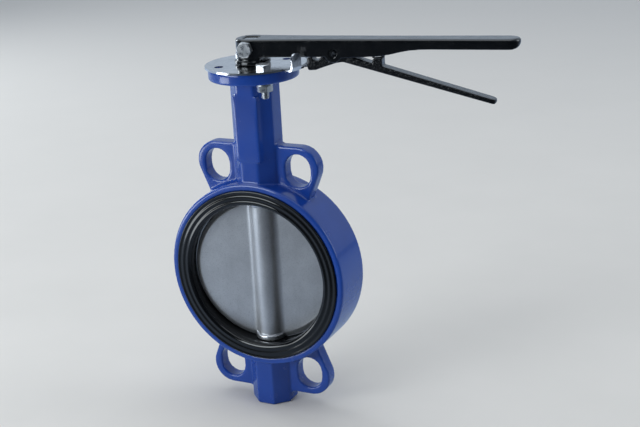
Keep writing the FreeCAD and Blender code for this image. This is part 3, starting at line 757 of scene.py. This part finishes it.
def set_bolt_piece(material):
    """Hexagon set bolt through the front of the lever's head."""
    low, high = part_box("lever_set_bolt")
    height = (low.z + high.z) / 2
    head = SET_BOLT_HEAD - SET_BOLT_COLLAR
    hexagon = hex_column(SET_BOLT_HEX, head, SET_BOLT_TURN, chamfer_top=True, chamfer_low=False)
    ring = [2 * math.pi * j / HEX_STEPS for j in range(HEX_STEPS)]
    collar = [
        [(SET_BOLT_COLLAR_R * math.cos(a), SET_BOLT_COLLAR_R * math.sin(a), z) for a in ring]
        for z in (-SET_BOLT_COLLAR, 0.0)
    ]
    thread = thread_rows(
        SET_BOLT_R, SET_BOLT_PITCH, SET_BOLT_LOW, SET_BOLT_HIGH, SET_BOLT_THREAD_DEPTH, SET_BOLT_TIP)
    facing = Matrix.Rotation(math.pi / 2, 4, "X")
    out = shift(SET_BOLT_X * MM, -(SET_BOLT_FACE + SET_BOLT_COLLAR) * MM, height)
    at = Matrix.Rotation(REST_OPEN, 4, "Z") @ out @ facing
    parts = [
        placed(part_from_rows(hexagon), at),
        placed(part_from_rows(collar, capped=True), at),
        placed(part_from_rows(thread, capped=True), at),
    ]
    piece = mesh_object("set_bolt", *merge_parts(parts), material, BOLT_ANGLE)
    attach(piece, "rotor")
    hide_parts("lever_set_bolt")
    return piece


BEVEL_ANGLE = math.radians(30.0)


def finish_node(node, material, bevel_mm=0.0, segments=2):
    """Give a CAD node its material, and soften its edges a little."""
    obj = NODES[node]
    obj.data.materials.clear()
    obj.data.materials.append(material)
    if bevel_mm > 0:
        bevel = obj.modifiers.new("Edge", "BEVEL")
        bevel.width = bevel_mm * MM
        bevel.segments = segments
        bevel.limit_method = "ANGLE"
        bevel.angle_limit = BEVEL_ANGLE
        bevel.harden_normals = True


# ---------------------------------------------------------------- studio

CAMERA_AT = (0.604892, -1.092042, 0.474187)
CAMERA_AZIMUTH = 26.335
CAMERA_ELEVATION = 18.545
CAMERA_ROLL = -3.126
CAMERA_LENS = 72.27
CAMERA_NEAR = 0.01
SENSOR = 36.0


def add_camera():
    """Camera at the photographer's place, a little rolled."""
    azimuth, elevation, roll = (math.radians(a) for a in (CAMERA_AZIMUTH, CAMERA_ELEVATION, CAMERA_ROLL))
    back = Vector((
        math.sin(azimuth) * math.cos(elevation),
        -math.cos(azimuth) * math.cos(elevation),
        math.sin(elevation),
    ))
    right = Vector((0, 0, 1)).cross(back).normalized()
    up = back.cross(right)
    x = right * math.cos(roll) + up * math.sin(roll)
    y = up * math.cos(roll) - right * math.sin(roll)
    data = bpy.data.cameras.new("camera")
    data.lens = CAMERA_LENS
    data.sensor_width = SENSOR
    data.clip_start = CAMERA_NEAR
    camera = link(bpy.data.objects.new("camera", data))
    camera.matrix_world = Matrix((
        (x.x, y.x, back.x, CAMERA_AT[0]),
        (x.y, y.y, back.y, CAMERA_AT[1]),
        (x.z, y.z, back.z, CAMERA_AT[2]),
        (0, 0, 0, 1),
    ))
    bpy.context.scene.camera = camera


def add_floor():
    """Wide pale floor."""
    corners = ((-1, -1), (1, -1), (1, 1), (-1, 1))
    points = [(x * FLOOR_HALF, y * FLOOR_HALF, 0.0) for x, y in corners]
    floor = mesh_object("floor", points, [(0, 1, 2, 3)], floor_material())
    floor.location.z = FOOT_BOTTOM


def add_light(name, place, target, size, power, colour):
    """Rectangular area light aimed at a target, itself out of sight."""
    data = bpy.data.lights.new(name, "AREA")
    data.shape = "RECTANGLE"
    data.size, data.size_y = size
    data.energy = power
    data.color = colour
    lamp = link(bpy.data.objects.new(name, data))
    lamp.location = place
    aim = Vector(target) - Vector(place)
    lamp.rotation_euler = aim.to_track_quat("-Z", "Y").to_euler()
    lamp.visible_camera = False


def add_lights():
    """Soft ceiling, three windows, and a low card that lights the disc's hub."""
    add_light("overhead", (-0.3, -0.1, 2.6), VALVE_MIDDLE, (3.6, 3.2), power=44, colour=CEILING_LIGHT)
    add_light("window_front", (-1.35, -2.3, 0.90), VALVE_MIDDLE, (1.4, 1.1), power=36, colour=DAYLIGHT)
    add_light("bounce_card", (-0.75, -0.62, -0.06), (0, 0, 0), (0.5, 0.22), power=1.9, colour=CEILING_LIGHT)
    add_light("window_side", (-2.3, 0.9, 0.75), VALVE_MIDDLE, (0.5, 1.2), power=14, colour=DAYLIGHT)
    add_light("window_right", (2.2, 1.0, 0.9), VALVE_MIDDLE, (1.0, 1.4), power=12, colour=DAYLIGHT)


def add_world():
    """Room brightest above and behind the valve, dark in front of it, pale where it is seen."""
    world = bpy.data.worlds.new("studio")
    world.use_nodes = True
    nodes, links = world.node_tree.nodes, world.node_tree.links
    background = nodes["Background"]
    coords = nodes.new("ShaderNodeTexCoord")
    slope = nodes.new("ShaderNodeVectorMath")
    slope.operation = "DOT_PRODUCT"
    slope.inputs[1].default_value = ROOM_SLOPE
    links.new(coords.outputs["Generated"], slope.inputs[0])
    ramp = nodes.new("ShaderNodeValToRGB")
    ramp.color_ramp.elements[0].position = ROOM_DARK_AT
    ramp.color_ramp.elements[0].color = ROOM_DARK
    ramp.color_ramp.elements[1].position = ROOM_BRIGHT_AT
    ramp.color_ramp.elements[1].color = ROOM_BRIGHT
    links.new(slope.outputs["Value"], ramp.inputs["Fac"])
    ray = nodes.new("ShaderNodeLightPath")
    seen = nodes.new("ShaderNodeMix")
    seen.data_type = "RGBA"
    seen.inputs["B"].default_value = ROOM_SEEN
    links.new(ray.outputs["Is Camera Ray"], seen.inputs["Factor"])
    links.new(ramp.outputs["Color"], seen.inputs["A"])
    links.new(seen.outputs["Result"], background.inputs["Color"])
    background.inputs["Strength"].default_value = 1.0
    bpy.context.scene.world = world


def build():
    """Every visible piece, then the studio."""
    zinc = plated_steel("zinc_steel", ZINC, rough=0.3)
    plate = plated_steel("plate_steel", PLATE, rough=0.13, size_mm=12.0)
    washer = plated_steel("washer_steel", STEEL, rough=0.3)
    stem = turned_metal("stem_steel", STEEL, rough=0.25, pitch_mm=0.6)
    machined = turned_metal("disc_machined", DISC_TURNED, rough=0.34, pitch_mm=0.5)
    plastic = bearing_plastic()
    o_ring = ring_rubber()
    body_piece(blue_paint())
    seat_piece(seat_rubber())
    disc_piece(blasted_metal(), machined)
    lever_piece(black_paint("black_paint", grain_mm=2.4, depth_mm=0.16, wave_mm=0.40))
    trigger_piece(black_paint("black_cast", grain_mm=2.4, depth_mm=0.9, wave_mm=0.5))
    spring_piece(spring_wire())
    plate_bolt_pieces(zinc)
    plate_nut_pieces(zinc)
    set_bolt_piece(zinc)
    finish_node("notch_plate", plate, bevel_mm=0.6, segments=3)
    finish_node("plate_washers", zinc, bevel_mm=0.2)
    finish_node("trigger_pin", black_paint("pin_steel", grain_mm=1.6, depth_mm=0.06), bevel_mm=0.2)
    finish_node("retaining_ring", washer)
    finish_node("thrust_washer", washer)
    finish_node("bottom_plug", plated_steel("plug_steel", STEEL, rough=0.35), bevel_mm=0.3)
    finish_node("upper_stem", stem)
    finish_node("lower_stem", stem)
    for node in ("upper_bushing", "middle_bushing", "lower_bushing"):
        finish_node(node, plastic)
    for node in ("stem_o_rings", "plug_o_ring"):
        finish_node(node, o_ring)
    add_floor()
    add_lights()
    add_world()
    add_camera()
    bpy.context.scene.view_settings.view_transform = "Standard"


build()
